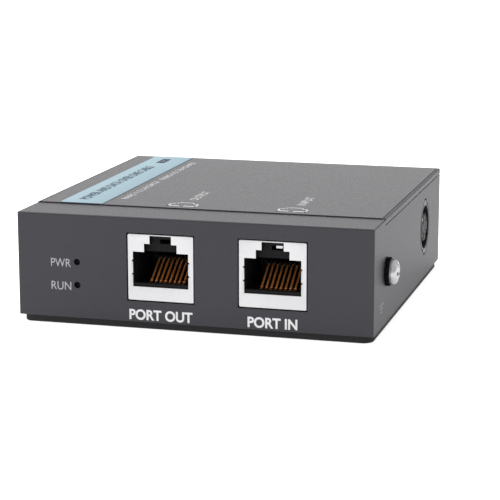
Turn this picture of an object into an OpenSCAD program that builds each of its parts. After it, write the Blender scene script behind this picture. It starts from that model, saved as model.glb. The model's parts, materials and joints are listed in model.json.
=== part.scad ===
// Two-port power injector in a folded sheet-metal box.
// The origin is the centre of the underside. The front panel faces -Y and +Z is up.

/* [Housing] */
// Width of the box, side to side
body_w = 76.1; // [75:0.1:80]
// Depth of the box, front to rear
body_d = 77.2; // [74:0.1:80]
// Height of the box, underside to cover
body_h = 23.7; // [23.5:0.1:25]
// Thickness of every folded sheet
sheet = 0.8; // [0.7:0.05:0.9]
// Height of the pan that shows below the shell
plinth_h = 1.5; // [1.3:0.1:1.8]
// Depth of the shell's own strip in front of the cover
strip_d = 11.2; // [9:0.1:13]
// Step from that strip up to the cover
cover_step = 0.2; // [0.15:0.05:0.4]
// Height of the cover's folded side lips
lip_h = 1.3; // [1.1:0.1:1.6]
// Outer bend radius of the shell
bend_r = 0.35; // [0.2:0.05:0.7]
// Radius of the pan's upright corners
pan_corner_r = 3.2; // [2:0.1:3.5]

/* [Board] */
// Height of the board's underside above the base
board_z = 4.5; // [4.4:0.1:5]
// Board thickness
board_t = 1.6; // [1.2:0.2:1.6]

/* [Network jacks] */
// Sideways place of the output jack
jack_out_x = -6.65; // [-8:0.05:-6]
// Sideways place of the input jack
jack_in_x = 17.15; // [16:0.05:18]
// Width of a jack's metal shield
jack_w = 14.1; // [14.1:0.1:14.6]
// Height of a jack's metal shield
jack_h = 13.9; // [13.9:0.05:14.2]
// Depth of a jack
jack_d = 16; // [15.5:0.5:18]
// Width of the opening for the plug
plug_w = 11.9; // [11.8:0.1:12]
// Pitch of the contact wires
contact_pitch = 1.02; // [1:0.01:1.04]
// Diameter of a contact wire
contact_wire = 0.45; // [0.35:0.05:0.45]

/* [Power socket] */
// Distance of the socket's axis behind the middle of the box
socket_y = 19; // [18:0.1:20]
// Height of the socket's axis
socket_z = 13.15; // [13.15:0.05:13.4]
// Radius of the socket's round front
socket_r = 5.45; // [5.4:0.05:5.6]

/* [Ground terminal] */
// Distance of the screw's axis from the middle of the box
ground_y = -25.6; // [-26:0.1:-24]
// Height of the screw's axis
ground_z = 12.3; // [12:0.1:13]
// Radius of the screw head
ground_head_r = 2.6; // [2.5:0.05:2.9]
// Height of the screw head
ground_head_h = 1.75; // [1.6:0.05:2]

/* [Indicators] */
// Sideways place of both indicators
led_x = -24.9; // [-26:0.05:-24]
// Height of the lower indicator
led_low_z = 8.5; // [8.3:0.1:9]
// Height of the upper indicator
led_high_z = 13.4; // [13:0.1:14]

/* [Hidden] */
$fn = 48;

eps = 0.05;
half_w = body_w / 2;
half_d = body_d / 2;
inner_w = half_w - sheet;
front_in = -half_d + sheet;
rear_in = half_d - 2 * sheet;
strip_top = body_h - cover_step;
cover_under = body_h - sheet;
lip_bottom = body_h - lip_h;
cover_front = -half_d + strip_d;
flange_w = 6;
pan_half_w = inner_w - eps;
pan_wall_h = 4;
rim_inset = 0.3;
rim_h = plinth_h - 0.05;
rim_bend = 0.4;
inner_bend = 0.1;
lip_gap = 0.2;
crease_w = 0.25;
crease_deep = 0.15;
board_top = board_z + board_t;
fit_gap = 0.05;
screw_r = 1.45;
thread_r = screw_r + fit_gap;

ear_y = 14;
ear_half = 5;
ear_reach = 10.2;
pan_screw_x = inner_w - 6.2;
cover_screw_x = 26;
cover_screw_z = 12;
standoff_x = 32.3;
standoff_y = 31.2;
standoff_r = 2.6;

window_gap = 0.25;
led_hole_r = 0.7;
led_pipe_r = 0.6;

plug_low = 2.88;
plug_high = 10.2;
latch_wide = 7;
latch_wide_top = 11.95;
latch_narrow = 4.6;
latch_narrow_top = 13.7;
jack_skin = 0.3;
contact_count = 8;
pivot_y = 4.9;
pivot_z = 3.2;
contact_rise = 32;
contact_len = 7.8;
lead_z = 1.3;

socket_lobe_r = 2.1;
socket_lobe_z = 4.1;
socket_ring_r = 5.05;
socket_bore_r = 4.75;
socket_core_r = 3.2;
socket_depth = 9.4;
socket_gap = 0.4;
core_recess = 0.05;
pin_recess = 0.3;
socket_block = 14;
socket_back = 15.4;
pin_ring = 1.65;

washer_t = 0.8;
washer_r = 3;
head_gap = 0.02;

// Shapes that repeat

module box(low, high) {
    translate(low) cube(high - low);
}

module rounded_plan(w, d, r) {
    square([w, d - 2 * r], center = true);
    square([w - 2 * r, d], center = true);
    for (x = [-1, 1], y = [-1, 1])
        translate([x * (w / 2 - r), y * (d / 2 - r)]) circle(r);
}

// A section standing on the X axis, with both top corners rounded.
module arch_section(w, low, high, r) {
    translate([-w / 2, low]) square([w, high - low - r]);
    translate([-w / 2 + r, low]) square([w - 2 * r, high - low]);
    for (x = [-1, 1]) translate([x * (w / 2 - r), high - r]) circle(r);
}

// A block with rounded upright corners and bent top edges.
module bent_block(w, d, low, high, r, corner_r) {
    intersection() {
        translate([0, 0, low]) linear_extrude(high - low) rounded_plan(w, d, corner_r);
        rotate([90, 0, 0]) linear_extrude(d + 2, center = true) arch_section(w, low, high, r);
        rotate([90, 0, 90]) linear_extrude(w + 2, center = true) arch_section(d, low, high, r);
    }
}

// A round rod in a YZ plane between two points.
module rod(from, to, r) {
    dy = to[0] - from[0];
    dz = to[1] - from[1];
    translate([0, from[0], from[1]]) rotate([-atan2(dy, dz), 0, 0]) cylinder(norm([dy, dz]), r = r);
}

module ball(at, r) {
    translate([0, at[0], at[1]]) sphere(r);
}

// A cylinder that lies along +X.
module x_cylinder(h, r) {
    rotate([0, 90, 0]) cylinder(h, r = r);
}

// A cross recess cut 1 mm deep into a head whose top is at Z = 0.
module cross_recess(size) {
    for (turn = [0, 90]) rotate(turn) translate([0, 0, -0.5])
        cube([size, size * 0.27, 1.04], center = true);
}

// A pan-head screw that points down -Z, with the underside of its head at Z = 0.
module pan_screw(head_r, head_h, shank) {
    dome = head_r * 0.45;
    difference() {
        union() {
            rotate_extrude() {
                square([head_r, head_h - dome]);
                square([head_r - dome, head_h]);
                intersection() {
                    translate([head_r - dome, head_h - dome]) circle(dome);
                    square([head_r, head_h]);
                }
            }
            translate([0, 0, -shank]) cylinder(shank, r = screw_r);
        }
        translate([0, 0, head_h]) cross_recess(head_r * 1.15);
    }
}

// A flat-head screw that points up +Z from the underside.
module flat_screw(head_r, head_h, shank) {
    difference() {
        union() {
            cylinder(head_h, r1 = head_r, r2 = screw_r);
            cylinder(shank, r = screw_r);
        }
        rotate([180, 0, 0]) cross_recess(head_r * 1.05);
    }
}

// Outline of a jack's opening in the XZ plane, with the latch steps on top.
module jack_outline(grow = 0) {
    translate([-plug_w / 2 - grow, plug_low - grow])
        square([plug_w + 2 * grow, plug_high - plug_low + 2 * grow]);
    translate([-latch_wide / 2 - grow, plug_high - 1])
        square([latch_wide + 2 * grow, latch_wide_top - plug_high + 1 + grow]);
    translate([-latch_narrow / 2 - grow, plug_high])
        square([latch_narrow + 2 * grow, latch_narrow_top - plug_high]);
}

// Extrudes an XZ outline towards +Y.
module deepen(y0, y1) {
    translate([0, y1, 0]) rotate([90, 0, 0]) linear_extrude(y1 - y0) children();
}

module at_jack(x) {
    translate([x, -half_d + fit_gap * 2, board_top]) children();
}

module at_contacts() {
    for (i = [0 : contact_count - 1])
        translate([(i - (contact_count - 1) / 2) * contact_pitch, 0, 0]) children();
}

module at_socket() {
    translate([half_w, socket_y, socket_z]) children();
}

module at_ground() {
    translate([half_w, ground_y, ground_z]) children();
}

module at_pan_screws() {
    for (x = [-1, 1], y = [-1, 1]) translate([x * pan_screw_x, y * ear_y, 0]) children();
}

module at_standoffs() {
    for (x = [-1, 1], y = [-1, 1]) translate([x * standoff_x, y * standoff_y, 0]) children();
}

module on_board(x, y, turn = 0) {
    translate([x, y, board_top]) rotate(turn) children();
}

// Housing

module front_cap() {
    difference() {
        bent_block(body_w, body_d, plinth_h, strip_top, bend_r, bend_r);
        bent_block(body_w - 2 * sheet, body_d - 2 * sheet, 0, strip_top - sheet, inner_bend, inner_bend);
        box([-half_w - 1, cover_front, 0], [half_w + 1, half_d + 1, body_h + 1]);
    }
    // joggled ledge that runs on under the cover
    box(
        [-inner_w + sheet, cover_front - 1, cover_under - sheet],
        [inner_w - sheet, cover_front + flange_w, cover_under]
    );
}

module side_wall() {
    box([inner_w, cover_front - eps, plinth_h], [half_w, half_d, lip_bottom - lip_gap]);
    // joggle that steps in behind the cover's lip
    box(
        [inner_w - sheet, cover_front - 1, lip_bottom - 1.1],
        [inner_w + eps, rear_in, lip_bottom - lip_gap]
    );
    box([inner_w - sheet, cover_front - 1, lip_bottom - 1.1], [inner_w, rear_in, cover_under]);
    box([inner_w - flange_w, cover_front - 1, cover_under - sheet], [inner_w, rear_in, cover_under]);
    // threaded ears that the pan is screwed to
    for (y = [-1, 1])
        difference() {
            union() {
                box(
                    [inner_w - ear_reach, y * ear_y - ear_half, plinth_h],
                    [inner_w + eps, y * ear_y + ear_half, plinth_h + sheet]
                );
                translate([pan_screw_x, y * ear_y, plinth_h]) cylinder(2, r = thread_r + sheet);
            }
            translate([pan_screw_x, y * ear_y, 0]) cylinder(6, r = thread_r);
        }
}

module rear_wall() {
    difference() {
        union() {
            box([-inner_w - eps, rear_in, plinth_h], [inner_w + eps, rear_in + sheet, lip_bottom - 0.1]);
            box([-inner_w, rear_in, lip_bottom - 0.2], [inner_w, rear_in + sheet, cover_under]);
            box([-inner_w, rear_in - flange_w, cover_under - sheet], [inner_w, rear_in + eps, cover_under]);
            for (x = [-1, 1])
                translate([x * cover_screw_x, rear_in + eps, cover_screw_z]) rotate([90, 0, 0])
                    cylinder(2.4, r = 2.4);
        }
        for (x = [-1, 1])
            translate([x * cover_screw_x, half_d, cover_screw_z]) rotate([90, 0, 0])
                cylinder(6, r = thread_r);
    }
}

module socket_outline(grow) {
    circle(socket_r + grow);
    for (side = [-1, 1]) translate([side * socket_lobe_z, 0]) circle(socket_lobe_r + grow);
}

module body_shell() {
    color([0.31, 0.31, 0.33])
    difference() {
        union() {
            front_cap();
            side_wall();
            mirror([1, 0, 0]) side_wall();
            rear_wall();
        }
        for (x = [jack_out_x, jack_in_x])
            at_jack(x)
                box(
                    [-jack_w / 2 - window_gap, -1, -window_gap],
                    [jack_w / 2 + window_gap, 2, jack_h + window_gap]
                );
        for (z = [led_low_z, led_high_z])
            translate([led_x, -half_d - 1, z]) rotate([-90, 0, 0]) cylinder(3, r = led_hole_r);
        at_socket() translate([-3, 0, 0]) rotate([0, 90, 0]) linear_extrude(4) socket_outline(socket_gap);
        at_ground() translate([-3, 0, 0]) x_cylinder(4, screw_r + 0.2);
    }
}

module top_cover() {
    front = cover_front + 0.1;
    length = half_d - front;
    color([0.44, 0.44, 0.46])
    difference() {
        union() {
            difference() {
                intersection() {
                    translate([0, half_d, 0]) rotate([90, 0, 0])
                        linear_extrude(length) arch_section(body_w, lip_bottom, body_h, 0.5);
                    rotate([90, 0, 90])
                        linear_extrude(body_w + 2, center = true) arch_section(body_d, lip_bottom - 1, body_h, 0.5);
                }
                box([-inner_w, -half_d, 0], [inner_w, half_d + 1, cover_under]);
            }
            // rear skirt between the side walls
            box([-inner_w + 0.1, half_d - sheet, 2], [inner_w - 0.1, half_d, cover_under + eps]);
        }
        for (x = [-1, 1]) {
            translate([x * cover_screw_x, half_d + 1, cover_screw_z]) rotate([90, 0, 0])
                cylinder(4, r = screw_r + 0.2);
            // scored line along the fold
            translate([x * (half_w - 0.6), 0, body_h])
                cube([crease_w, body_d + 2, 2 * crease_deep], center = true);
        }
    }
}

module bottom_pan() {
    front = -half_d + sheet + eps;
    rear = rear_in - eps;
    depth = rear - front;
    middle = (rear + front) / 2;
    color([0.22, 0.22, 0.23])
    difference() {
        union() {
            difference() {
                union() {
                    translate([0, middle, sheet])
                        linear_extrude(pan_wall_h - sheet) rounded_plan(2 * pan_half_w, depth, 1.1);
                    // rim under the walls of the shell
                    translate([0, 0, rim_h]) mirror([0, 0, 1])
                        bent_block(body_w - 2 * rim_inset, body_d - 2 * rim_inset,
                            0, rim_h, rim_bend, pan_corner_r);
                }
                translate([0, middle, pan_wall_h]) mirror([0, 0, 1])
                    bent_block(2 * pan_half_w - 2 * sheet, depth - 2 * sheet,
                        -1, pan_wall_h - sheet, 0.3, 0.3);
                for (x = [-1, 1], y = [-1, 1])
                    translate([x * pan_half_w, y * ear_y, plinth_h + 5 - eps])
                        cube([4, 2 * ear_half + 0.6, 10], center = true);
            }
            at_pan_screws() cylinder(plinth_h, r = 4.2);
        }
        at_pan_screws() translate([0, 0, -0.01]) cylinder(plinth_h + 0.02, r1 = 3.1, r2 = screw_r + 0.15);
    }
}

module top_label() {
    color([0.74, 0.84, 0.88])
    box([-32.85, cover_front + 0.3, body_h], [-23.3, half_d - 0.7, body_h + 0.1]);
}

module cover_screws() {
    color([0.75, 0.75, 0.77])
    for (x = [-1, 1])
        translate([x * cover_screw_x, half_d, cover_screw_z]) rotate([-90, 0, 0]) pan_screw(2.6, 1.5, 4);
}

module pan_screws() {
    color([0.75, 0.75, 0.77])
    at_pan_screws() translate([0, 0, 0.1]) flat_screw(2.8, 1.35, 4.2);
}

// Board and what carries it

module insulating_sheet() {
    color([0.92, 0.9, 0.8])
    difference() {
        box([-34, -35.8, sheet], [34, 35, sheet + 0.2]);
        at_pan_screws() cylinder(3, r = 4.5);
        at_standoffs() cylinder(3, r = standoff_r + 0.3);
    }
}

module board_standoffs() {
    color([0.78, 0.72, 0.5])
    at_standoffs() difference() {
        translate([0, 0, sheet]) cylinder(board_z - sheet, r = standoff_r);
        translate([0, 0, sheet + 0.5]) cylinder(6, r = thread_r);
    }
}

module board_screws() {
    color([0.78, 0.78, 0.8])
    at_standoffs() translate([0, 0, board_top]) pan_screw(2.6, 1.7, 4.6);
}

module main_board() {
    color([0.05, 0.3, 0.16])
    difference() {
        box([-36.3, -36.9, board_z], [36.3, 36, board_top]);
        at_standoffs() cylinder(10, r = screw_r + 0.15);
        for (x = [jack_out_x, jack_in_x], side = [-1, 1])
            translate([x + side * 5.1, -half_d + 9, 0]) cylinder(10, r = 1.65);
    }
}

// Network jacks

module jack_shield(x) {
    half = jack_w / 2;
    color([0.9, 0.9, 0.92])
    at_jack(x) {
        difference() {
            box([-half, 0, 0], [half, jack_d, jack_h]);
            box(
                [-half + jack_skin, jack_skin, -1],
                [half - jack_skin, jack_d - jack_skin, jack_h - jack_skin]
            );
            deepen(-1, 1) jack_outline();
            for (side = [-1, 1], z = [5.5, 8.3])
                translate([side * plug_w / 2, 0, z]) cube([0.5, 2, 0.4], center = true);
        }
        // board tabs
        for (side = [-1, 1])
            translate([side * (half - jack_skin / 2), 9, -1.2]) cube([jack_skin, 1.5, 2.6], center = true);
    }
}

module jack_insulator(x) {
    half = jack_w / 2 - jack_skin;
    latch_y = 1.5;
    comb_y = 10.4;
    comb_top = 7.5;
    back_y = 13.2;
    window_x = 0.6;
    window_z = 12.28;
    color([0.07, 0.07, 0.08])
    at_jack(x) {
        difference() {
            box([-half, jack_skin, 0], [half, jack_d - jack_skin, jack_h - jack_skin]);
            deepen(jack_skin - 1, back_y) translate([-plug_w / 2, plug_low])
                square([plug_w, plug_high - plug_low]);
            deepen(jack_skin - 1, latch_y) jack_outline();
            // window in the back of the latch pocket, for a small grounding spring
            translate([window_x, latch_y + 2, window_z]) cube([2.3, 6, 0.95], center = true);
            // well under the contact wires, open to the board
            box([-4.4, 3, -1], [4.4, back_y, plug_low + 1]);
        }
        // front bar that guides the plug over the wires
        box([-plug_w / 2, jack_skin, plug_low - 0.2], [plug_w / 2, 1.6, 3.6]);
        for (i = [0 : contact_count])
            translate([(i - contact_count / 2) * contact_pitch - 0.15, comb_y, plug_low + 0.5])
                cube([0.3, back_y - comb_y + eps, comb_top - plug_low - 0.5]);
        for (side = [-1, 1]) translate([side * 5.1, 9 - fit_gap * 2, -board_t])
            cylinder(board_t + 0.1, r = 1.6);
    }
}

// Fixed half of each contact: it comes up through the board, runs forward and turns up.
module jack_leads(x) {
    r = contact_wire / 2;
    turn_r = (pivot_z - lead_z) / 2;
    turn = 135;
    color([0.8, 0.55, 0.3])
    at_jack(x)
        at_contacts() {
            rod([pivot_y, lead_z], [12.4, lead_z], r);
            ball([12.4, lead_z], r);
            rod([12.4, lead_z], [12.4, -2.6], r);
            translate([0, pivot_y, lead_z + turn_r]) rotate([0, 90, 0]) rotate([0, 0, -turn])
                rotate_extrude(angle = turn) translate([turn_r, 0]) circle(r);
        }
}

// Moving half of each contact: from a round eye it rises to the rear, and a plug presses it down.
module jack_contacts(x) {
    start = 0.18;
    eye_r = 0.3;
    eye_w = 0.5;
    rise = [cos(contact_rise), sin(contact_rise)];
    pivot = [pivot_y, pivot_z];
    color([0.78, 0.5, 0.24])
    at_jack(x) at_contacts() {
        rod(pivot + start * rise, pivot + contact_len * rise, contact_wire / 2);
        translate([-eye_w / 2, pivot_y, pivot_z]) x_cylinder(eye_w, eye_r);
    }
}

module jack_out_shield() jack_shield(jack_out_x);
module jack_out_insulator() jack_insulator(jack_out_x);
module jack_out_leads() jack_leads(jack_out_x);
module jack_out_contacts() jack_contacts(jack_out_x);
module jack_in_shield() jack_shield(jack_in_x);
module jack_in_insulator() jack_insulator(jack_in_x);
module jack_in_leads() jack_leads(jack_in_x);
module jack_in_contacts() jack_contacts(jack_in_x);

// Power socket

module socket_housing() {
    color([0.1, 0.1, 0.11])
    at_socket() difference() {
        union() {
            box(
                [-socket_back, -socket_block / 2, board_top - socket_z],
                [-sheet - 0.1, socket_block / 2, socket_block / 2]
            );
            translate([-2, 0, 0]) rotate([0, 90, 0]) linear_extrude(2) socket_outline(0);
        }
        translate([-socket_depth, 0, 0]) x_cylinder(socket_depth + 1, socket_ring_r);
    }
}

module socket_ring() {
    color([0.8, 0.8, 0.82])
    at_socket() difference() {
        translate([-socket_depth, 0, 0]) x_cylinder(socket_depth - 0.15, socket_ring_r);
        translate([-socket_depth - 1, 0, 0]) x_cylinder(socket_depth + 2, socket_bore_r);
    }
}

module at_pins() {
    for (y = [-1, 1], z = [-1, 1]) translate([0, y * pin_ring, z * pin_ring]) children();
}

module socket_core() {
    color([0.2, 0.2, 0.21])
    at_socket() difference() {
        translate([-socket_depth, 0, 0]) x_cylinder(socket_depth - core_recess, socket_core_r);
        at_pins() translate([-socket_depth + 0.5, 0, 0]) x_cylinder(socket_depth, 0.85);
        // key groove
        translate([-4, 0, socket_core_r]) cube([8, 1.6, 1.2], center = true);
    }
}

module socket_pins() {
    color([0.85, 0.8, 0.6])
    at_socket() {
        at_pins() difference() {
            translate([-socket_depth + 0.5, 0, 0]) x_cylinder(socket_depth - 0.5 - pin_recess, 0.8);
            translate([-socket_depth + 1.5, 0, 0]) x_cylinder(socket_depth, 0.55);
        }
        for (x = [-13.4, -9.6], y = [-3.2, 3.2])
            translate([x, y, board_z - socket_z - 1]) cylinder(board_t + 1, r = 0.45);
    }
}

// Ground terminal

module ground_nut() {
    color([0.75, 0.75, 0.77])
    at_ground() difference() {
        translate([-sheet - 2.4, 0, 0]) rotate([0, 90, 0]) cylinder(2.4, r = 3.1, $fn = 6);
        translate([-6, 0, 0]) x_cylinder(8, thread_r);
    }
}

module ground_washer() {
    teeth = 10;
    color([0.08, 0.08, 0.09])
    at_ground() translate([head_gap, 0, 0]) rotate([0, 90, 0]) linear_extrude(washer_t) difference() {
        circle(washer_r);
        circle(screw_r + 0.25);
        for (i = [0 : teeth - 1]) rotate(i * 360 / teeth) translate([washer_r, 0])
            square([1.1, 0.5], center = true);
    }
}

module ground_screw() {
    color([0.82, 0.82, 0.84])
    at_ground() translate([washer_t + 2 * head_gap, 0, 0]) rotate([0, 90, 0])
        pan_screw(ground_head_r, ground_head_h, 6);
}

// Indicators

module light_pipes() {
    pipe_front = -half_d + 0.6;
    color([0.85, 0.88, 0.9])
    translate([led_x, 0, 0]) {
        for (pipe = [[led_low_z, -33.2], [led_high_z, -30]]) {
            translate([0, pipe_front, pipe[0]]) rotate([-90, 0, 0])
                cylinder(pipe[1] - pipe_front, r = led_pipe_r);
            box([-0.8, pipe[1] - 0.8, board_top + 1], [0.8, pipe[1] + 0.8, pipe[0] + 0.8]);
        }
        box([-0.8, -33.2, board_top + 1], [0.8, -30, board_top + 2.2]);
    }
}

module indicator_leds() {
    color([0.95, 0.95, 0.85])
    for (y = [-33.2, -30])
        translate([led_x, y, board_top + 0.45]) cube([2, 1.3, 0.9], center = true);
}

// Parts soldered on the board

transformer_y = -12;

module gull_leads(count, pitch, span, z) {
    for (i = [0 : count - 1], side = [-1, 1]) {
        x = (i - (count - 1) / 2) * pitch;
        translate([x, side * (span / 2 + 0.25), z / 2]) cube([pitch * 0.4, 0.5, z], center = true);
        translate([x, side * (span / 2 + 0.7), 0.1]) cube([pitch * 0.4, 1, 0.2], center = true);
    }
}

module transformer(x) {
    color([0.09, 0.09, 0.1])
    on_board(x, transformer_y) box([-8.9, -4.6, 0.2], [8.9, 4.6, 5.6]);
}

module transformer_out() transformer(jack_out_x - 2);
module transformer_in() transformer(jack_in_x);

module transformer_leads() {
    color([0.8, 0.8, 0.82])
    for (x = [jack_out_x - 2, jack_in_x]) on_board(x, transformer_y) gull_leads(12, 1.27, 9.2, 1.6);
}

module port_controller() {
    color([0.12, 0.12, 0.13])
    on_board(-3, 4) box([-5.15, -3.75, 0.1], [5.15, 3.75, 2.4]);
}

module microcontroller() {
    color([0.12, 0.12, 0.13])
    on_board(-24, 0) box([-3.5, -3.5, 0.1], [3.5, 3.5, 1.2]);
}

module chip_leads() {
    color([0.8, 0.8, 0.82]) {
        on_board(-3, 4) gull_leads(8, 1.27, 7.5, 1);
        for (turn = [0, 90]) on_board(-24, 0, turn) gull_leads(8, 0.8, 7, 0.6);
    }
}

module power_inductor() {
    color([0.3, 0.3, 0.32])
    on_board(-6.5, 26) translate([0, 0, 3]) intersection() {
        cube([12, 12, 6], center = true);
        rotate(45) cube([14.6, 14.6, 6], center = true);
    }
}

module choke_core() {
    color([0.2, 0.22, 0.2])
    on_board(9, 27) difference() {
        cylinder(5, r = 6);
        translate([0, 0, -1]) cylinder(7, r = 3);
    }
}

module choke_winding() {
    wire_r = 0.4;
    color([0.75, 0.4, 0.15])
    on_board(9, 27)
        for (side = [0, 180], i = [-3 : 3])
            rotate(side + i * 19) difference() {
                box([2.2, -wire_r, 0.02], [6.8, wire_r, 5.8]);
                box([2.9, -1, -1], [6.05, 1, 5.02]);
            }
}

module capacitor_places() {
    for (x = [-29, -18]) on_board(x, 23.5) children();
}

module bulk_capacitors() {
    color([0.15, 0.17, 0.3])
    capacitor_places() difference() {
        translate([0, 0, 0.8]) cylinder(12.5, r = 4.9);
        for (turn = [0, 90]) rotate(turn) translate([0, 0, 13.3]) cube([6, 0.4, 0.5], center = true);
    }
}

module capacitor_seals() {
    color([0.1, 0.1, 0.1])
    capacitor_places() {
        cylinder(0.8, r = 4.4);
        for (x = [-2.5, 2.5]) translate([x, 0, -board_t - 1]) cylinder(board_t + 1, r = 0.3);
    }
}

module input_fuse() {
    color([0.12, 0.1, 0.1])
    on_board(18.3, 12) cylinder(7.5, r = 4.2);
}

module switching_transistor() {
    color([0.1, 0.1, 0.11])
    on_board(-12.5, 12.6) {
        box([-3.3, -3, 0.5], [3.3, 3, 2.4]);
        box([-2.7, -3.9, 0], [2.7, 3, 0.5]);
    }
}

module surge_diodes() {
    color([0.12, 0.12, 0.12])
    for (place = [[18.5, 2], [10, 3], [27, 2], [31.2, -12]])
        on_board(place[0], place[1]) {
            box([-3.4, -2.9, 0.3], [3.4, 2.9, 2.4]);
            box([-3.8, -1.5, 0], [3.8, 1.5, 0.3]);
        }
}

module chassis_capacitors() {
    color([0.15, 0.35, 0.6])
    for (y = [-15, -8])
        on_board(-29, y) translate([0, 0, 5]) rotate([90, 0, 0]) cylinder(2.6, r = 4, center = true);
}

module chip_capacitors() {
    color([0.72, 0.6, 0.45])
    for (i = [0 : 5]) {
        on_board(-17 + i * 2.6, -3.6) translate([0, 0, 0.5]) cube([1.25, 2, 1], center = true);
        on_board(-34 + i * 1.9, 8) translate([0, 0, 0.4]) cube([0.8, 1.6, 0.8], center = true);
    }
}

module chip_resistors() {
    color([0.06, 0.06, 0.07])
    for (i = [0 : 7]) {
        on_board(-3 + i * 1.8, 14) translate([0, 0, 0.25]) cube([0.8, 1.6, 0.5], center = true);
        on_board(-34 + i * 1.9, 13) translate([0, 0, 0.25]) cube([0.8, 1.6, 0.5], center = true);
    }
}

module clock_crystal() {
    color([0.8, 0.8, 0.82])
    on_board(-33, 0) box([-2.2, -5.5, 0], [2.2, 5.5, 3.2]);
}

body_shell();
top_cover();
bottom_pan();
top_label();
cover_screws();
pan_screws();
insulating_sheet();
board_standoffs();
board_screws();
main_board();
jack_out_shield();
jack_out_insulator();
jack_out_leads();
jack_out_contacts();
jack_in_shield();
jack_in_insulator();
jack_in_leads();
jack_in_contacts();
socket_housing();
socket_ring();
socket_core();
socket_pins();
ground_nut();
ground_washer();
ground_screw();
light_pipes();
indicator_leds();
transformer_out();
transformer_in();
transformer_leads();
port_controller();
microcontroller();
chip_leads();
power_inductor();
choke_core();
choke_winding();
bulk_capacitors();
capacitor_seals();
input_fuse();
switching_transistor();
surge_diodes();
chassis_capacitors();
chip_capacitors();
chip_resistors();
clock_crystal();
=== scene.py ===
"""Looks of the two-port power injector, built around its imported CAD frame.

Everything ends up in metres, in the CAD frame: the origin is the centre of the underside, the
front panel faces -Y and +Z is up. Parts are drawn in millimetres and placed with at().
"""
import json
import math

import bmesh
import bpy
from mathutils import Matrix, Vector


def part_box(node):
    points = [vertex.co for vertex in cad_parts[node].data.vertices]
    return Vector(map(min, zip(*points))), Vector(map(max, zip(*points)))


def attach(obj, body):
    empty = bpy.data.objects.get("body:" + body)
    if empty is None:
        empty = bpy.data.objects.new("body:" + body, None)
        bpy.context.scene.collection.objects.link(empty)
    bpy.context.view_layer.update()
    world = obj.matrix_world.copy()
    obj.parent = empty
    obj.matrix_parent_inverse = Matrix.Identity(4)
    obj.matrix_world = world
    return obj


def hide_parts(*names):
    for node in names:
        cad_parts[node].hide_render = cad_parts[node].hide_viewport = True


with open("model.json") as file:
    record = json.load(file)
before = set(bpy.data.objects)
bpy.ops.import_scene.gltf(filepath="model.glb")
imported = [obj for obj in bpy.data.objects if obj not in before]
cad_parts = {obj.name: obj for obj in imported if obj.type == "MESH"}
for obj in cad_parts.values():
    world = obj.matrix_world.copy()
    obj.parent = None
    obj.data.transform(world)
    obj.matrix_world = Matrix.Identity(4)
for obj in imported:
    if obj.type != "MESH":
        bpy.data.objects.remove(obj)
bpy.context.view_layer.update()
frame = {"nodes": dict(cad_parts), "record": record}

MM = 0.001
SCENE = bpy.context.scene
NODES = frame["nodes"]

# ---------------------------------------------------------------- places taken from the frame

SHELL_LOW, SHELL_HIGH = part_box("body_shell")
COVER_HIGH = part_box("top_cover")[1]
LABEL_LOW, LABEL_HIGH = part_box("top_label")
BOARD_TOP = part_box("main_board")[1].z
FRONT_Y = SHELL_LOW.y
REAR_Y = COVER_HIGH.y
RIGHT_X = SHELL_HIGH.x
COVER_TOP = COVER_HIGH.z


def middle(node):
    low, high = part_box(node)
    return (low + high) / 2


def turned(x_to, y_to):
    """The turn that sends local +X and +Y to two given directions."""
    x, y = Vector(x_to), Vector(y_to)
    return Matrix((x, y, x.cross(y))).transposed().to_4x4()


# Each turn points a part's local +Z out of one side of the box, with local +Y up where it can be.
OUT_FRONT = turned((1, 0, 0), (0, 0, 1))
OUT_RIGHT = turned((0, 1, 0), (0, 0, 1))
OUT_REAR = turned((-1, 0, 0), (0, 0, 1))
OUT_BOTTOM = turned((1, 0, 0), (0, -1, 0))
OUT_TOP = turned((1, 0, 0), (0, 1, 0))
TOP_READING_BACK = turned((0, 1, 0), (-1, 0, 0))


def at(point, turn=OUT_TOP):
    """Places a part drawn in millimetres at a point given in metres."""
    return Matrix.Translation(point) @ Matrix.Scale(MM, 4) @ turn


# ---------------------------------------------------------------- materials

def new_material(name):
    mat = bpy.data.materials.new(name)
    mat.use_nodes = True
    nodes = mat.node_tree.nodes
    return mat, nodes, mat.node_tree.links, nodes["Principled BSDF"]


def noise(nodes, links, scale, detail=3.0, rough=0.5, stretch=(1.0, 1.0, 1.0)):
    """The output of a noise texture in object space, with its scale in cycles per metre."""
    where = nodes.new("ShaderNodeTexCoord")
    place = nodes.new("ShaderNodeMapping")
    place.inputs["Scale"].default_value = stretch
    tex = nodes.new("ShaderNodeTexNoise")
    tex.inputs["Scale"].default_value = scale
    tex.inputs["Detail"].default_value = detail
    tex.inputs["Roughness"].default_value = rough
    links.new(where.outputs["Object"], place.inputs["Vector"])
    links.new(place.outputs["Vector"], tex.inputs["Vector"])
    return tex.outputs["Fac"]


def spread(nodes, links, value, low, high, start=0.3, stop=0.7):
    """Maps a 0 to 1 value onto low to high."""
    to = nodes.new("ShaderNodeMapRange")
    to.inputs["From Min"].default_value = start
    to.inputs["From Max"].default_value = stop
    to.inputs["To Min"].default_value = low
    to.inputs["To Max"].default_value = high
    links.new(value, to.inputs["Value"])
    return to.outputs["Result"]


def two_tone(nodes, links, value, dark, light, start=0.3, stop=0.7):
    """A colour that runs from dark to light with a value."""
    ramp = nodes.new("ShaderNodeValToRGB")
    ramp.color_ramp.elements[0].position = start
    ramp.color_ramp.elements[0].color = (*dark, 1.0)
    ramp.color_ramp.elements[1].position = stop
    ramp.color_ramp.elements[1].color = (*light, 1.0)
    links.new(value, ramp.inputs["Fac"])
    return ramp.outputs["Color"]


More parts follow.
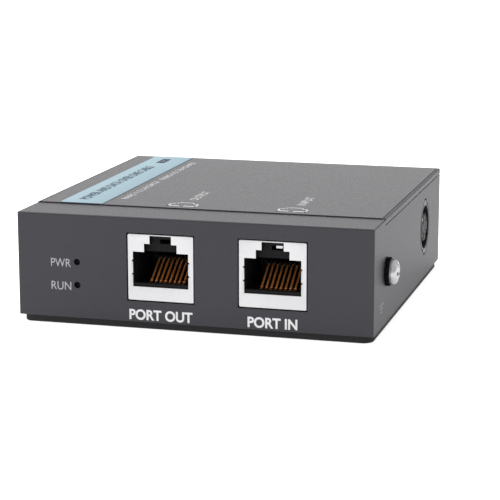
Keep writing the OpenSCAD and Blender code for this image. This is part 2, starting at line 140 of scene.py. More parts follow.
def bump(nodes, links, shader, height, distance, strength=1.0):
    node = nodes.new("ShaderNodeBump")
    node.inputs["Distance"].default_value = distance
    node.inputs["Strength"].default_value = strength
    links.new(height, node.inputs["Height"])
    links.new(node.outputs["Normal"], shader.inputs["Normal"])


def shade(colour, factor):
    return tuple(c * factor for c in colour)


# How the noise behind a metal's lines is stretched: level lines, lines around X, or none.
LINES_LEVEL = (1.0, 1.0, 14.0)
LINES_AROUND_X = (14.0, 1.0, 1.0)
NO_LINES = (1.0, 1.0, 1.0)


def coated_metal(name, colour, roughness=0.5, grain=0.010 * MM, variation=0.06, specular=0.5,
                 levelled=0.0):
    """Powder coat: a fine orange-peel skin with slightly uneven gloss and colour.

    levelled is how much smoother the coat flowed out on the faces that look up.
    """
    mat, nodes, links, shader = new_material(name)
    fine = noise(nodes, links, 2600.0, 4.0, 0.6)
    broad = noise(nodes, links, 45.0, 2.0)
    uneven = two_tone(nodes, links, broad, shade(colour, 1 - variation), shade(colour, 1 + variation))
    links.new(uneven, shader.inputs["Base Color"])
    skin = spread(nodes, links, fine, roughness - 0.06, roughness + 0.08)
    if levelled:
        coords = nodes.new("ShaderNodeTexCoord")
        axes = nodes.new("ShaderNodeSeparateXYZ")
        links.new(coords.outputs["Normal"], axes.inputs["Vector"])
        flowed = nodes.new("ShaderNodeMath")
        flowed.operation = "SUBTRACT"
        links.new(skin, flowed.inputs[0])
        links.new(spread(nodes, links, axes.outputs["Z"], 0.0, levelled, 0.7, 1.0), flowed.inputs[1])
        skin = flowed.outputs["Value"]
    links.new(skin, shader.inputs["Roughness"])
    shader.inputs["Specular IOR Level"].default_value = specular
    bump(nodes, links, shader, fine, grain, 0.5)
    return mat


def plated_metal(name, colour, roughness=0.28, metallic=1.0, stretch=LINES_LEVEL, grain=0.004 * MM):
    """Plated sheet or turned metal, with faint rolling or turning lines."""
    mat, nodes, links, shader = new_material(name)
    lines = noise(nodes, links, 700.0, 3.0, 0.55, stretch)
    broad = noise(nodes, links, 90.0, 2.0)
    links.new(two_tone(nodes, links, broad, shade(colour, 0.93), colour), shader.inputs["Base Color"])
    links.new(spread(nodes, links, lines, roughness - 0.06, roughness + 0.08), shader.inputs["Roughness"])
    shader.inputs["Metallic"].default_value = metallic
    bump(nodes, links, shader, lines, grain, 0.4)
    return mat


def moulded_plastic(name, colour, roughness=0.45, grain=0.006 * MM, variation=0.15, specular=0.5):
    """Moulded plastic with a fine spark-eroded texture."""
    mat, nodes, links, shader = new_material(name)
    fine = noise(nodes, links, 3200.0, 3.0, 0.6)
    broad = noise(nodes, links, 150.0, 2.0)
    uneven = two_tone(nodes, links, broad, shade(colour, 1 - variation), shade(colour, 1 + variation))
    links.new(uneven, shader.inputs["Base Color"])
    links.new(spread(nodes, links, fine, roughness - 0.07, roughness + 0.09), shader.inputs["Roughness"])
    shader.inputs["Specular IOR Level"].default_value = specular
    bump(nodes, links, shader, fine, grain, 0.5)
    return mat


def ink(name, colour, roughness=0.6):
    """Screen-printed ink, a little uneven in cover."""
    mat, nodes, links, shader = new_material(name)
    cover = noise(nodes, links, 1800.0, 3.0)
    links.new(two_tone(nodes, links, cover, shade(colour, 0.9), colour), shader.inputs["Base Color"])
    shader.inputs["Roughness"].default_value = roughness
    return mat


def board_mask(name):
    """Solder mask: tracks show as slightly lighter runs under the lacquer."""
    mat, nodes, links, shader = new_material(name)
    where = nodes.new("ShaderNodeTexCoord")
    cells = nodes.new("ShaderNodeTexBrick")
    cells.inputs["Scale"].default_value = 420.0
    cells.inputs["Mortar Size"].default_value = 0.12
    cells.inputs["Color1"].default_value = (0.012, 0.12, 0.055, 1.0)
    cells.inputs["Color2"].default_value = (0.014, 0.13, 0.06, 1.0)
    cells.inputs["Mortar"].default_value = (0.02, 0.2, 0.09, 1.0)
    links.new(where.outputs["Object"], cells.inputs["Vector"])
    links.new(cells.outputs["Color"], shader.inputs["Base Color"])
    shader.inputs["Roughness"].default_value = 0.3
    bump(nodes, links, shader, cells.outputs["Fac"], 0.02 * MM, 0.4)
    return mat


def painted_shade_plastic(name, colour):
    """Clear moulding coloured near black: painted shade that keeps the indicator holes dark."""
    mat, nodes, links, shader = new_material(name)
    fine = noise(nodes, links, 900.0, 2.0)
    links.new(two_tone(nodes, links, fine, shade(colour, 0.8), colour), shader.inputs["Base Color"])
    links.new(spread(nodes, links, fine, 0.3, 0.4), shader.inputs["Roughness"])
    shader.inputs["Specular IOR Level"].default_value = 0.05
    return mat


COAT_GREY = (0.0245, 0.0230, 0.0300)
COAT_ROUGHNESS = 0.48
COAT_GRAIN = 0.005 * MM
MATERIALS = {
    "powder_coat_dark": coated_metal("powder_coat_dark", COAT_GREY, COAT_ROUGHNESS, COAT_GRAIN, specular=0.4,
                                     levelled=0.2),
    "powder_coat_cover": coated_metal("powder_coat_cover", COAT_GREY, COAT_ROUGHNESS, COAT_GRAIN,
                                      levelled=0.21),
    # The pan's coat is darker and duller than the body's: painted shade for the strip of pan that shows
    # under the shell.
    "pan_coat": coated_metal("pan_coat", (0.012, 0.012, 0.013), 0.7, specular=0.25),
    "label_film": coated_metal("label_film", (0.25, 0.375, 0.435), 0.4, 0.003 * MM, 0.02),
    "screw_zinc": plated_metal("screw_zinc", (0.46, 0.46, 0.47), 0.24, stretch=LINES_AROUND_X,
                               grain=0.001 * MM),
    "washer_black": coated_metal("washer_black", (0.005, 0.005, 0.006), 0.75, 0.006 * MM, specular=0.05),
    "mylar": moulded_plastic("mylar", (0.66, 0.64, 0.55), 0.35),
    "brass_standoff": plated_metal("brass_standoff", (0.62, 0.50, 0.26), 0.3),
    "solder_mask": board_mask("solder_mask"),
    "jack_nickel": plated_metal("jack_nickel", (0.55, 0.55, 0.56), 0.38),
    "jack_plastic": moulded_plastic("jack_plastic", (0.005, 0.005, 0.0055), 0.6, specular=0.14),
    "contact_gold": plated_metal("contact_gold", (0.95, 0.37, 0.10), 0.42, 0.45, stretch=NO_LINES),
    "socket_plastic": moulded_plastic("socket_plastic", (0.022, 0.022, 0.023), 0.4),
    "socket_core_plastic": moulded_plastic("socket_core_plastic", (0.08, 0.08, 0.084), 0.75, specular=0.15),
    "socket_metal": plated_metal("socket_metal", (0.012, 0.012, 0.013), 0.6, stretch=LINES_AROUND_X),
    "pin_tin": plated_metal("pin_tin", (0.74, 0.73, 0.70), 0.35),
    # The light pipes' near-black colour is painted shade for the indicator holes.
    "clear_acrylic": painted_shade_plastic("clear_acrylic", (0.002, 0.002, 0.0025)),
    "led_body": moulded_plastic("led_body", (0.80, 0.78, 0.62), 0.3),
    "epoxy_black": moulded_plastic("epoxy_black", (0.018, 0.018, 0.019), 0.55),
    "ferrite": moulded_plastic("ferrite", (0.05, 0.05, 0.055), 0.7, 0.02 * MM),
    "enamel_copper": plated_metal("enamel_copper", (0.60, 0.22, 0.08), 0.25),
    "capacitor_sleeve": moulded_plastic("capacitor_sleeve", (0.02, 0.025, 0.06), 0.25),
    "rubber_seal": moulded_plastic("rubber_seal", (0.02, 0.02, 0.02), 0.8, 0.012 * MM),
    "ceramic_disc_blue": moulded_plastic("ceramic_disc_blue", (0.03, 0.13, 0.42), 0.35),
    "ceramic_tan": moulded_plastic("ceramic_tan", (0.42, 0.29, 0.16), 0.5),
    "resistor_black": moulded_plastic("resistor_black", (0.02, 0.02, 0.022), 0.3),
    "print_white": ink("print_white", (0.70, 0.70, 0.71)),
    "print_soft": ink("print_soft", (0.60, 0.60, 0.61)),
    "print_grey": ink("print_grey", (0.36, 0.36, 0.38)),
    "print_faint": ink("print_faint", (0.2, 0.2, 0.205)),
    "print_dark": ink("print_dark", (0.02, 0.035, 0.06)),
}


def dress_cad_nodes():
    """Every CAD node that still shows takes the material of its slot in the record."""
    for part in frame["record"]["subparts"]:
        for socket in NODES[part["node"]].material_slots:
            socket.material = MATERIALS[part["material_slot"]]


dress_cad_nodes()


# ---------------------------------------------------------------- shapes, drawn in millimetres

def mesh_of(verts, faces):
    mesh = bpy.data.meshes.new("part")
    mesh.from_pydata(verts, [], faces)
    return mesh


def baked(obj):
    """The mesh of an object with its modifiers or curve settings applied; the object goes."""
    SCENE.collection.objects.link(obj)
    graph = bpy.context.evaluated_depsgraph_get()
    mesh = bpy.data.meshes.new_from_object(obj.evaluated_get(graph))
    bpy.data.objects.remove(obj)
    return mesh


def arc(centre, radius, start, stop, steps):
    """Points on an arc, from and to the given angles in degrees."""
    angles = [math.radians(start + (stop - start) * i / steps) for i in range(steps + 1)]
    return [(centre[0] + radius * math.cos(a), centre[1] + radius * math.sin(a)) for a in angles]


def rounded_rect(width, height, radius, steps=6):
    """Outline of a rectangle about the origin with round corners."""
    x, y = width / 2 - radius, height / 2 - radius
    corners = [((x, y), 0), ((-x, y), 90), ((-x, -y), 180), ((x, -y), 270)]
    return [p for centre, start in corners for p in arc(centre, radius, start, start + 90, steps)]


def moved_up(outline, rise):
    return [(x, y + rise) for x, y in outline]


def circle(radius, steps=48):
    return arc((0, 0), radius, 0, 360 * (steps - 1) / steps, steps - 1)


def plate(outlines, thickness, bevel=0.0):
    """A plate from Z = 0 up, cut from closed outlines (holes too), with its edges rounded."""
    data = bpy.data.curves.new("plate", "CURVE")
    data.dimensions = "2D"
    data.fill_mode = "BOTH"
    data.extrude = thickness / 2 - bevel
    data.bevel_depth = bevel
    data.bevel_resolution = 1
    data.offset = -bevel
    for points in outlines:
        spline = data.splines.new("POLY")
        spline.points.add(len(points) - 1)
        for point, (x, y) in zip(spline.points, points):
            point.co = (x, y, 0.0, 1.0)
        spline.use_cyclic_u = True
    mesh = baked(bpy.data.objects.new("plate", data))
    mesh.transform(Matrix.Translation((0, 0, thickness / 2)))
    return mesh


def tube(points, radius, tip=0.6):
    """A round wire along 3-D points, drawn in a little at its last point."""
    data = bpy.data.curves.new("tube", "CURVE")
    data.dimensions = "3D"
    data.bevel_depth = radius
    data.bevel_resolution = 3
    data.use_fill_caps = True
    spline = data.splines.new("POLY")
    spline.points.add(len(points) - 1)
    for point, place in zip(spline.points, points):
        point.co = (*place, 1.0)
    spline.points[-1].radius = tip
    return baked(bpy.data.objects.new("tube", data))


def stacked(rows):
    """A closed solid from rings of points, one above the other, with flat ends."""
    count = len(rows[0])
    verts = [p for row in rows for p in row]
    faces = [[low + i, low + (i + 1) % count, low + count + (i + 1) % count, low + count + i]
             for low in range(0, count * (len(rows) - 1), count) for i in range(count)]
    faces.append(list(range(count))[::-1])
    faces.append(list(range(count * (len(rows) - 1), count * len(rows))))
    return mesh_of(verts, faces)


def lathe(profile, hollow=False, sides=64):
    """A solid turned about +Z from (radius, height) points. A hollow one closes on itself."""
    angles = [2 * math.pi * i / sides for i in range(sides)]
    rows = [[(r * math.cos(a), r * math.sin(a), z) for a in angles] for r, z in profile]
    if not hollow:
        return stacked(rows)
    rows.append(rows[0])
    ring = stacked(rows)
    shape = bmesh.new()
    shape.from_mesh(ring)
    ends = [face for face in shape.faces if len(face.verts) == sides]
    bmesh.ops.delete(shape, geom=ends, context="FACES")
    bmesh.ops.remove_doubles(shape, verts=shape.verts, dist=1e-4)
    shape.to_mesh(ring)
    shape.free()
    return ring


def carved(mesh, cutters):
    """The mesh with every cutter taken out of it."""
    body = bpy.data.objects.new("body", mesh)
    tools = [bpy.data.objects.new("tool", cutter) for cutter in cutters]
    for tool in tools:
        SCENE.collection.objects.link(tool)
        cut = body.modifiers.new("cut", "BOOLEAN")
        cut.operation = "DIFFERENCE"
        cut.solver = "EXACT"
        cut.object = tool
    result = baked(body)
    for tool in tools:
        bpy.data.objects.remove(tool)
    return result


def moved(mesh, matrix):
    mesh.transform(matrix)
    return mesh


def piece(name, parts, material, body, replaces=(), sharp=35.0):
    """Joins placed parts into one object that rides on a body."""
    shape = bmesh.new()
    for part in parts:
        shape.from_mesh(part)
        bpy.data.meshes.remove(part)
    bmesh.ops.remove_doubles(shape, verts=shape.verts, dist=2e-7)
    bmesh.ops.recalc_face_normals(shape, faces=shape.faces)
    mesh = bpy.data.meshes.new(name)
    shape.to_mesh(mesh)
    shape.free()
    mesh.materials.clear()
    mesh.materials.append(MATERIALS[material])
    mesh.shade_smooth()
    mesh.set_sharp_from_angle(angle=math.radians(sharp))
    obj = bpy.data.objects.new(name, mesh)
    SCENE.collection.objects.link(obj)
    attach(obj, body)
    if replaces:
        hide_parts(*replaces)
    return obj


# ---------------------------------------------------------------- network jacks

JACK_W = 14.1
JACK_H = 13.9
JACK_CORNER = 0.3
JACK_D = 16.0
SKIN = 0.3
PLUG_HALF = 5.95
PLUG_LOW = 2.88
PLUG_HIGH = 10.2
# Half width and top of each step of the latch's slot.
LATCH_STEPS = ((3.5, 11.95), (2.3, 13.7))
NOTCH_HEIGHTS = (5.5, 8.3)
NOTCH_HALF = 0.2
NOTCH_DEEP = 0.26
TAB_MIDDLE = 9.0
TAB_HALF = 0.75
TAB_TIP_HALF = 0.4
TAB_LOW = -2.5
SPRING_T = 0.12
SPRING_W = 1.35
SPRING_LOW = 12.2
SPRING_HIGH = 12.72
# Where a contact wire's eye lies in Y and Z.
PIVOT = (4.9, 3.2)
WIRE_R = 0.225
WIRE_RISE = math.radians(32)
WIRE_LEN = 7.8
WIRE_ARCH = 0.12
WIRE_STEPS = 14
TIP_START = 6.4
TIP_DROOP = 0.5
WIRE_PITCH = 1.02
WIRE_COUNT = 8


def opening_outline():
    """The plug opening in X and Z: two notches a side, and the latch steps on top."""
    right = [(PLUG_HALF, PLUG_LOW)]
    for z in NOTCH_HEIGHTS:
        right += [(PLUG_HALF, z - NOTCH_HALF), (PLUG_HALF + NOTCH_DEEP, z - NOTCH_HALF * 0.6),
                  (PLUG_HALF + NOTCH_DEEP, z + NOTCH_HALF * 0.6), (PLUG_HALF, z + NOTCH_HALF)]
    floor = PLUG_HIGH
    for half, top in LATCH_STEPS:
        right += [(right[-1][0], floor), (half, floor)]
        floor = top
    right.append((right[-1][0], floor))
    return right + [(-x, z) for x, z in reversed(right)]


def arch(half, height, radius):
    """An arch in X and Z that stands on Z = 0, from its left foot over to its right foot."""
    left = arc((-half + radius, height - radius), radius, 180, 90, 5)
    right = arc((half - radius, height - radius), radius, 90, 0, 5)
    return [(-half, 0.0)] + left + right + [(half, 0.0)]


def board_tab(side):
    """Tapered tab that goes through the board. Drawn in Y and Z."""
    rear = [(TAB_HALF, SKIN), (TAB_HALF, TAB_LOW + 0.6), (TAB_TIP_HALF, TAB_LOW)]
    outline = [(TAB_MIDDLE + y, z) for y, z in rear] + [(TAB_MIDDLE - y, z) for y, z in reversed(rear)]
    tab = moved(plate([outline], SKIN, 0.03), OUT_RIGHT)
    return moved(tab, Matrix.Translation((side * (JACK_W / 2 - SKIN / 2) - SKIN / 2, 0, 0)))


def latch_spring(depth, lean):
    """Grounding spring that shows in the window behind the latch. Drawn in Y and Z."""
    bend = [(depth + 2.4, SPRING_HIGH + 0.1), (depth, SPRING_HIGH), (depth + lean, SPRING_LOW)]
    outline = bend + [(y + SPRING_T, z - SPRING_T * 0.5) for y, z in reversed(bend)]
    return moved(plate([outline], SPRING_W, 0.02), Matrix.Translation((0.34, 0, 0)) @ OUT_RIGHT)


def add_jack(port, spring):
    """The folded shield with its front opening, tabs and spring, and the contact wires inside."""
    body_x = middle(f"jack_{port}_insulator").x
    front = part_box(f"jack_{port}_shield")[0].y
    here = at((body_x, front, BOARD_TOP))
    outer = moved_up(rounded_rect(JACK_W, JACK_H, JACK_CORNER), JACK_H / 2)
    face = plate([outer, opening_outline()], SKIN, 0.05)
    face = moved(face, here @ Matrix.Translation((0, SKIN, 0)) @ OUT_FRONT)
    skirt = arch(JACK_W / 2, JACK_H, JACK_CORNER) + arch(JACK_W / 2 - SKIN, JACK_H - SKIN, 0.05)[::-1]
    sides = moved(plate([skirt], JACK_D - SKIN), here @ Matrix.Translation((0, JACK_D, 0)) @ OUT_FRONT)
    rear = moved(plate([outer], SKIN, 0.03), here @ Matrix.Translation((0, JACK_D, 0)) @ OUT_FRONT)
    small = [moved(part, here) for part in (board_tab(-1), board_tab(1), spring)]
    piece(f"jack_{port}_shell", [face, sides, rear] + small, "jack_nickel", "chassis",
          [f"jack_{port}_shield"])
    add_contact_row(port, here)


def wire_path():
    """A contact wire from its eye to its tip in Y and Z, slightly arched, with the tip eased down."""
    eye_y, eye_z = PIVOT
    path = []
    for i in range(WIRE_STEPS + 1):
        run = WIRE_LEN * i / WIRE_STEPS
        lift = WIRE_ARCH * math.sin(math.pi * i / WIRE_STEPS)
        droop = TIP_DROOP * max(0.0, (run - TIP_START) / (WIRE_LEN - TIP_START)) ** 2
        path.append((eye_y + run * math.cos(WIRE_RISE), eye_z + run * math.sin(WIRE_RISE) + lift - droop))
    return path


def add_contact_row(port, here):
    """Eight wires, each with the eye that it turns about."""
    parts = []
    for i in range(WIRE_COUNT):
        x = (i - (WIRE_COUNT - 1) / 2) * WIRE_PITCH
        parts.append(moved(tube([(x, y, z) for y, z in wire_path()], WIRE_R), here))
        eye = lathe([(0.2, -0.25), (0.25, -0.18), (0.25, 0.18), (0.2, 0.25)], sides=20)
        parts.append(moved(eye, here @ Matrix.Translation((x, *PIVOT)) @ OUT_RIGHT))
    piece(f"contact_wires_{port}", parts, "contact_gold", f"contacts_{port}",
          [f"jack_{port}_contacts"], sharp=60)


add_jack("out", latch_spring(3.4, 1.2))
add_jack("in", latch_spring(1.7, 0.0))


# ---------------------------------------------------------------- screws and washer

SHANK_R = 1.45
THREAD_PITCH = 0.5
THREAD_DEEP = 0.27
THREAD_LEAD_IN = 0.25
# Below 1, a pan head's rim is fuller and its top flatter than an ellipse.
HEAD_SQUARE = 0.75
COVER_HEAD_R = 2.6
COVER_SHANK = 4.0
PAN_HEAD_R = 2.8
PAN_HEAD_H = 1.35
WASHER_TEETH = 12
WASHER_R = 3.0
WASHER_ROOT_R = 2.72
WASHER_HOLE_R = 1.7


def recess_bar(length, width, depth, turn):
    """One arm pair of a cross recess, tapering down from just above Z = 0."""
    rows = []
    for z, share in ((-depth, 0.3), (0.3, 1.1)):
        x, y = length / 2 * share, width / 2 * (0.4 + 0.6 * share)
        rows.append([(-x, -y, z), (x, -y, z), (x, y, z), (-x, y, z)])
    return moved(stacked(rows), Matrix.Rotation(turn, 4, "Z"))


def with_cross(mesh, top, size, depth):
    """A screw head on +Z with a cross recess cut down from its top."""
    bars = [moved(recess_bar(size, size * 0.3, depth, turn), Matrix.Translation((0, 0, top)))
            for turn in (0.0, math.pi / 2)]
    return carved(mesh, bars)


def pan_head(radius, height):
    """A domed head with its underside on Z = 0 and a cross recess."""
    edge = height * 0.25
    dome = [(radius * math.cos(t) ** HEAD_SQUARE, edge + (height - edge) * math.sin(t) ** HEAD_SQUARE)
            for t in (math.radians(a) for a in range(0, 90, 5))]
    profile = [(radius - 0.12, 0.0), (radius, 0.1)] + dome + [(0.02, height)]
    return with_cross(lathe(profile), height, radius * 1.45, height * 0.95)


def flat_head(radius, height, shank):
    """A countersunk head with its face on Z = 0 and a cross recess; the shank points down."""
    edge = 0.06
    profile = [(SHANK_R, -shank), (SHANK_R, -height), (radius - edge, -0.16), (radius, -0.08),
               (radius - edge, 0.0)]
    return with_cross(lathe(profile), 0.0, radius * 1.1, height * 0.9)


def threaded_shank(length, sides=40, rows_per_turn=10):
    """A V thread that runs down from Z = 0, cut into the shank's own radius."""
    count = int(length / THREAD_PITCH * rows_per_turn)
    rows = []
    for row in range(count + 1):
        z = -length * (count - row) / count
        ease = min(1.0, row / rows_per_turn)
        turn = []
        for i in range(sides):
            phase = (z / THREAD_PITCH + i / sides) % 1.0
            radius = SHANK_R - THREAD_DEEP * abs(2 * phase - 1) - THREAD_LEAD_IN * (1 - ease)
            angle = 2 * math.pi * i / sides
            turn.append((radius * math.cos(angle), radius * math.sin(angle), z))
        rows.append(turn)
    return stacked(rows)


def washer_rim():
    """Outline of the washer: broad teeth with narrow gaps between them."""
    step = 360 / WASHER_TEETH
    rim = []
    for i in range(WASHER_TEETH):
        rim += arc((0, 0), WASHER_R, i * step, i * step + step * 0.62, 3)
        rim += arc((0, 0), WASHER_ROOT_R, i * step + step * 0.7, i * step + step * 0.92, 2)
    return rim


def add_ground_terminal():
    """The ground screw, which turns, and the toothed washer that travels out with it."""
    centre = middle("ground_washer")
    washer_low, washer_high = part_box("ground_washer")
    screw_low, screw_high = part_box("ground_screw")
    head_x = washer_high.x + 0.02 * MM
    head_h = (screw_high.x - head_x) / MM
    head_r = (screw_high.z - screw_low.z) / 2 / MM
    seat = at((head_x, centre.y, centre.z), OUT_RIGHT)
    head = moved(pan_head(head_r, head_h), seat)
    shank = moved(threaded_shank((head_x - screw_low.x) / MM), seat)
    piece("ground_terminal_screw", [head, shank], "screw_zinc", "ground_turn", ["ground_screw"])

    ring = plate([washer_rim(), circle(WASHER_HOLE_R)], (washer_high.x - washer_low.x) / MM, 0.07)
    ring = moved(ring, at((washer_low.x, centre.y, centre.z), OUT_RIGHT))
    piece("toothed_washer", [ring], "washer_black", "ground_travel", ["ground_washer"])


def add_case_screws():
    """Two screws through the cover's rear skirt, and four flush ones under the pan."""
    low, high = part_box("cover_screws")
    inset = COVER_HEAD_R * MM
    heads = []
    for x in (low.x + inset, high.x - inset):
        place = at((x, REAR_Y, (low.z + high.z) / 2), OUT_REAR)
        heads.append(moved(pan_head(COVER_HEAD_R, (high.y - REAR_Y) / MM), place))
        heads.append(moved(threaded_shank(COVER_SHANK), place))
    piece("cover_screw_pair", heads, "screw_zinc", "chassis", ["cover_screws"])

    low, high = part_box("pan_screws")
    inset = PAN_HEAD_R * MM
    length = (high.z - low.z) / MM
    heads = [moved(flat_head(PAN_HEAD_R, PAN_HEAD_H, length), at((x, y, low.z), OUT_BOTTOM))
             for x in (low.x + inset, high.x - inset) for y in (low.y + inset, high.y - inset)]
    piece("pan_screw_set", heads, "screw_zinc", "chassis", ["pan_screws"])


add_ground_terminal()
add_case_screws()


# ---------------------------------------------------------------- power socket

CORE_R = 3.2
CORE_FACE = -0.05
KEY_HALF = 0.8
SLEEVE_SIDE = 1.65
SLEEVE_R = 0.8
SLEEVE_HOLE_R = 0.55
RING_OUT = 5.05
RING_IN = 4.75
SOCKET_DEEP = 9.4
# Where the four tails pass through the board, from the box's side and the socket's axis.
TAIL_XS = (-13.4, -9.6)
TAIL_YS = (-3.2, 3.2)
TAIL_R = 0.45


def add_socket():
    """The metal ring, the keyed core and the four contact sleeves. Z = 0 is the box's side."""
    centre = middle("socket_ring")
    here = at((RIGHT_X, centre.y, centre.z), OUT_RIGHT)
    ring = [(RING_OUT, -SOCKET_DEEP), (RING_OUT, -0.25), (RING_OUT - 0.08, -0.17), (RING_IN + 0.1, -0.17),
            (RING_IN, -0.35), (RING_IN, -SOCKET_DEEP)]
    piece("socket_metal_ring", [moved(lathe(ring, hollow=True), here)], "socket_metal", "chassis",
          ["socket_ring"])

    core = lathe([(CORE_R, -SOCKET_DEEP), (CORE_R, CORE_FACE - 0.2), (CORE_R - 0.06, CORE_FACE - 0.06),
                  (CORE_R - 0.2, CORE_FACE)])
    keyway = ((-KEY_HALF, 2.6), (KEY_HALF, 2.6), (KEY_HALF, 4.0), (-KEY_HALF, 4.0))
    cutters = [stacked([[(x, y, z) for x, y in keyway] for z in (-8.0, 1.0)])]
    bore_r = SLEEVE_R + 0.05
    bore = [(bore_r, -SOCKET_DEEP + 0.5), (bore_r, CORE_FACE - 0.15), (bore_r + 0.15, CORE_FACE + 0.1)]
    back = -SOCKET_DEEP + 0.55
    sleeve = [(SLEEVE_R, back), (SLEEVE_R, CORE_FACE - 0.35), (SLEEVE_R - 0.06, CORE_FACE - 0.25),
              (SLEEVE_HOLE_R + 0.07, CORE_FACE - 0.25), (SLEEVE_HOLE_R, CORE_FACE - 0.4),
              (SLEEVE_HOLE_R, back)]
    sleeves = []
    for x in (-SLEEVE_SIDE, SLEEVE_SIDE):
        for y in (-SLEEVE_SIDE, SLEEVE_SIDE):
            place = Matrix.Translation((x, y, 0))
            cutters.append(moved(lathe(bore, sides=32), place))
            sleeves.append(moved(lathe(sleeve, hollow=True, sides=32), here @ place))
    piece("socket_keyed_core", [moved(carved(core, cutters), here)], "socket_core_plastic", "chassis",
          ["socket_core"])

    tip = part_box("socket_pins")[0].z / MM
    tail = [(0.2, tip), (TAIL_R, tip + 0.35), (TAIL_R, BOARD_TOP / MM)]
    for x in TAIL_XS:
        for y in TAIL_YS:
            sleeves.append(moved(lathe(tail, sides=20), at((RIGHT_X + x * MM, centre.y + y * MM, 0))))
    piece("socket_sleeves", sleeves, "pin_tin", "chassis", ["socket_pins"])


add_socket()


# ---------------------------------------------------------------- label and generic print

PRINT_T = 0.025
PRINT_SUNK = 0.005


def lettering(words, width, height, heavy=0.0):
    """Raised print of some words, centred on the origin and fitted to a width and a height."""
    data = bpy.data.curves.new("lettering", "FONT")
    data.body = words
    data.extrude = 0.02
    data.offset = heavy
    mesh = baked(bpy.data.objects.new("lettering", data))
    corners = [[v.co[i] for v in mesh.vertices] for i in range(3)]
    low = Vector([min(c) for c in corners])
    size = Vector([max(c) for c in corners]) - low
    fit = Matrix.Diagonal((width / size.x, height / size.y, PRINT_T / size.z, 1.0))
    return moved(mesh, Matrix.Translation((-width / 2, -height / 2, 0)) @ fit @ Matrix.Translation(-low))


def strokes(paths, width):
    """Flat printed lines with square ends, each along its own run of points."""
    bars = []
    for path in paths:
        for (x0, y0), (x1, y1) in zip(path, path[1:]):
            length = math.hypot(x1 - x0, y1 - y0) + width
            turn = Matrix.Rotation(math.atan2(y1 - y0, x1 - x0), 4, "Z")
            end, side = length / 2, width / 2
            bar = plate([[(-end, -side), (end, -side), (end, side), (-end, side)]], PRINT_T)
            bars.append(moved(bar, Matrix.Translation(((x0 + x1) / 2, (y0 + y1) / 2, 0)) @ turn))
    return bars


def print_piece(name, parts, material, point, turn):
    """Print on one side of the box, set a hair into the surface so that it has no gap under it."""
    sunk = Matrix.Translation((0, 0, -PRINT_SUNK))
    piece(name, [moved(part, at(point, turn) @ sunk) for part in parts], material, "chassis", sharp=80)


def port_symbol():
    """Outline of a modular socket as seen from its mouth."""
    left = [(-0.9, -2.1), (-3.0, -2.1), (-3.0, 0.9), (-1.7, 0.9), (-1.7, 2.1)]
    outline = left + [(-x, y) for x, y in reversed(left)]
    feet = [[(-2.75, -1.8), (-1.1, -1.8)], [(0.9, -1.8), (2.75, -1.8)]]
    return strokes([outline], 0.35) + strokes(feet, 0.9)


def earth_symbol():
    """A stem over three bars, each shorter than the last."""
    stem = [(0, 1.45), (0, 0.2)]
    bars = [[(-half, y), (half, y)] for half, y in ((2.0, 0.2), (1.3, -0.55), (0.6, -1.3))]
    return strokes([stem] + bars, 0.32)


def bolt_badge():
    """A dark rounded badge with a bolt-shaped gap."""
    bolt = [(0.5, 0.75), (-0.75, -0.1), (-0.1, -0.1), (-0.5, -0.75), (0.75, 0.1), (0.1, 0.1)]
    return plate([rounded_rect(6.2, 2.1, 0.5), bolt], PRINT_T)


def add_label_film():
    """The film, and its print that reads from the right side of the box."""
    size = (LABEL_HIGH - LABEL_LOW) / MM
    centre = middle("top_label")
    film = plate([rounded_rect(size.x, size.y, 0.35)], size.z, 0.02)
    film = moved(film, at((centre.x, centre.y, LABEL_LOW.z)))
    piece("label_film", [film], "label_film", "chassis", ["top_label"])
    top = LABEL_HIGH.z
    words = lettering("POWER AND DATA OVER ONE CABLE", 45.3, 2.3, 0.02)
    print_piece("label_words", [words], "print_dark", (-29.0 * MM, -0.5 * MM, top), TOP_READING_BACK)
    print_piece("label_badge", [bolt_badge()], "print_dark", (-28.6 * MM, 30.8 * MM, top), TOP_READING_BACK)


def add_cover_print():
    """A line about the wire pairs, and a socket outline with a word behind it for each port."""
    words = lettering("PAIRS 1-2 3-6 DATA   PAIRS 4-5 7-8 POWER", 51.0, 1.5)
    print_piece("cover_words", [words], "print_soft", (-20.8 * MM, 5.4 * MM, COVER_TOP), TOP_READING_BACK)
    ports = (("out", "OUTPUT", -6.3, -23.3, 10.7), ("in", "INPUT", 17.55, -23.15, 9.6))
    for name, word, x, y, length in ports:
        print_piece(f"symbol_{name}", port_symbol(), "print_white", (x * MM, y * MM, COVER_TOP), OUT_TOP)
        behind = y + 5.5 + length / 2
        print_piece(f"cover_{name}", [lettering(word, length, 1.9)], "print_soft",
                    ((x + 0.3) * MM, behind * MM, COVER_TOP), TOP_READING_BACK)


def add_panel_print():
    """A name under each jack and beside each indicator."""
    for name, words, width in (("out", "PORT OUT", 13.7), ("in", "PORT IN", 10.45)):
        x = middle(f"jack_{name}_insulator").x
        print_piece(f"panel_{name}", [lettering(words, width, 2.25, 0.03)], "print_white",
                    (x, FRONT_Y, 3.05 * MM), OUT_FRONT)
    x = middle("light_pipes").x - 3.55 * MM
    for name, words, z in (("power", "PWR", 13.1), ("run", "RUN", 8.2)):
        print_piece(f"panel_{name}", [lettering(words, 4.4, 1.75)], "print_grey", (x, FRONT_Y, z * MM),
                    OUT_FRONT)


def add_side_print():
    """The earth symbol under the ground screw."""
    place = (RIGHT_X, -30.8 * MM, 6.15 * MM)
    print_piece("earth_symbol", earth_symbol(), "print_faint", place, OUT_RIGHT)


add_label_film()
add_cover_print()
add_panel_print()
add_side_print()


# ---------------------------------------------------------------- camera, floor and light

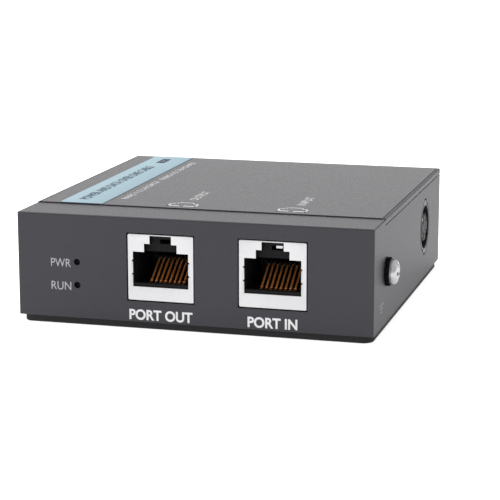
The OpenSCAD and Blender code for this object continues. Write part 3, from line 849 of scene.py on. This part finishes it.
def add_camera():
    """The view from the front right, slightly above the box."""
    data = bpy.data.cameras.new("camera")
    data.lens = 128.5
    data.sensor_width = 36.0
    data.shift_x = 0.0083
    data.shift_y = -0.007
    data.clip_start = 0.01
    camera = bpy.data.objects.new("camera", data)
    SCENE.collection.objects.link(camera)
    camera.location = Vector((106.67, -378.32, 92.35)) * MM
    azimuth = math.radians(15.635)
    elevation = math.radians(11.794)
    look = Vector((-math.sin(azimuth) * math.cos(elevation),
                   math.cos(azimuth) * math.cos(elevation),
                   -math.sin(elevation)))
    level = look.to_track_quat("-Z", "Y").to_matrix()
    camera.rotation_euler = (level @ Matrix.Rotation(math.radians(-0.1), 3, "Z")).to_euler()
    SCENE.camera = camera


def add_area_light(name, place, target, size, power):
    """A soft square light at a place, turned towards a target."""
    data = bpy.data.lights.new(name, "AREA")
    data.shape = "SQUARE"
    data.size = size
    data.energy = power
    light = bpy.data.objects.new(name, data)
    SCENE.collection.objects.link(light)
    light.location = place
    light.rotation_euler = (Vector(target) - Vector(place)).to_track_quat("-Z", "Y").to_euler()


def add_stage():
    """A pale floor a hair below the box, a white studio around it and two soft lights."""
    half = 6.0
    below = -0.02 * MM
    corners = [(-half, -half, below), (half, -half, below), (half, half, below), (-half, half, below)]
    mesh = mesh_of(corners, [(0, 1, 2, 3)])
    floor = bpy.data.objects.new("floor", mesh)
    SCENE.collection.objects.link(floor)
    mat, _, _, shader = new_material("floor_pale")
    shader.inputs["Base Color"].default_value = (0.85, 0.85, 0.85, 1.0)
    shader.inputs["Roughness"].default_value = 0.9
    shader.inputs["Specular IOR Level"].default_value = 0.2
    shader.inputs["Emission Color"].default_value = (1.0, 1.0, 1.0, 1.0)
    shader.inputs["Emission Strength"].default_value = 0.6
    mesh.materials.append(mat)

    world = bpy.data.worlds.new("studio")
    world.use_nodes = True
    back = world.node_tree.nodes["Background"]
    back.inputs["Color"].default_value = (1.0, 1.0, 1.0, 1.0)
    back.inputs["Strength"].default_value = 0.85
    SCENE.world = world
    add_area_light("light_left", (-0.55, 0.1, 0.6), (0, 0, 0), 0.5, 6.0)
    add_area_light("light_right", (0.8, 0.35, 0.5), (0, 0, 0.01), 0.6, 0.3)
    SCENE.view_settings.view_transform = "Standard"


add_camera()
add_stage()
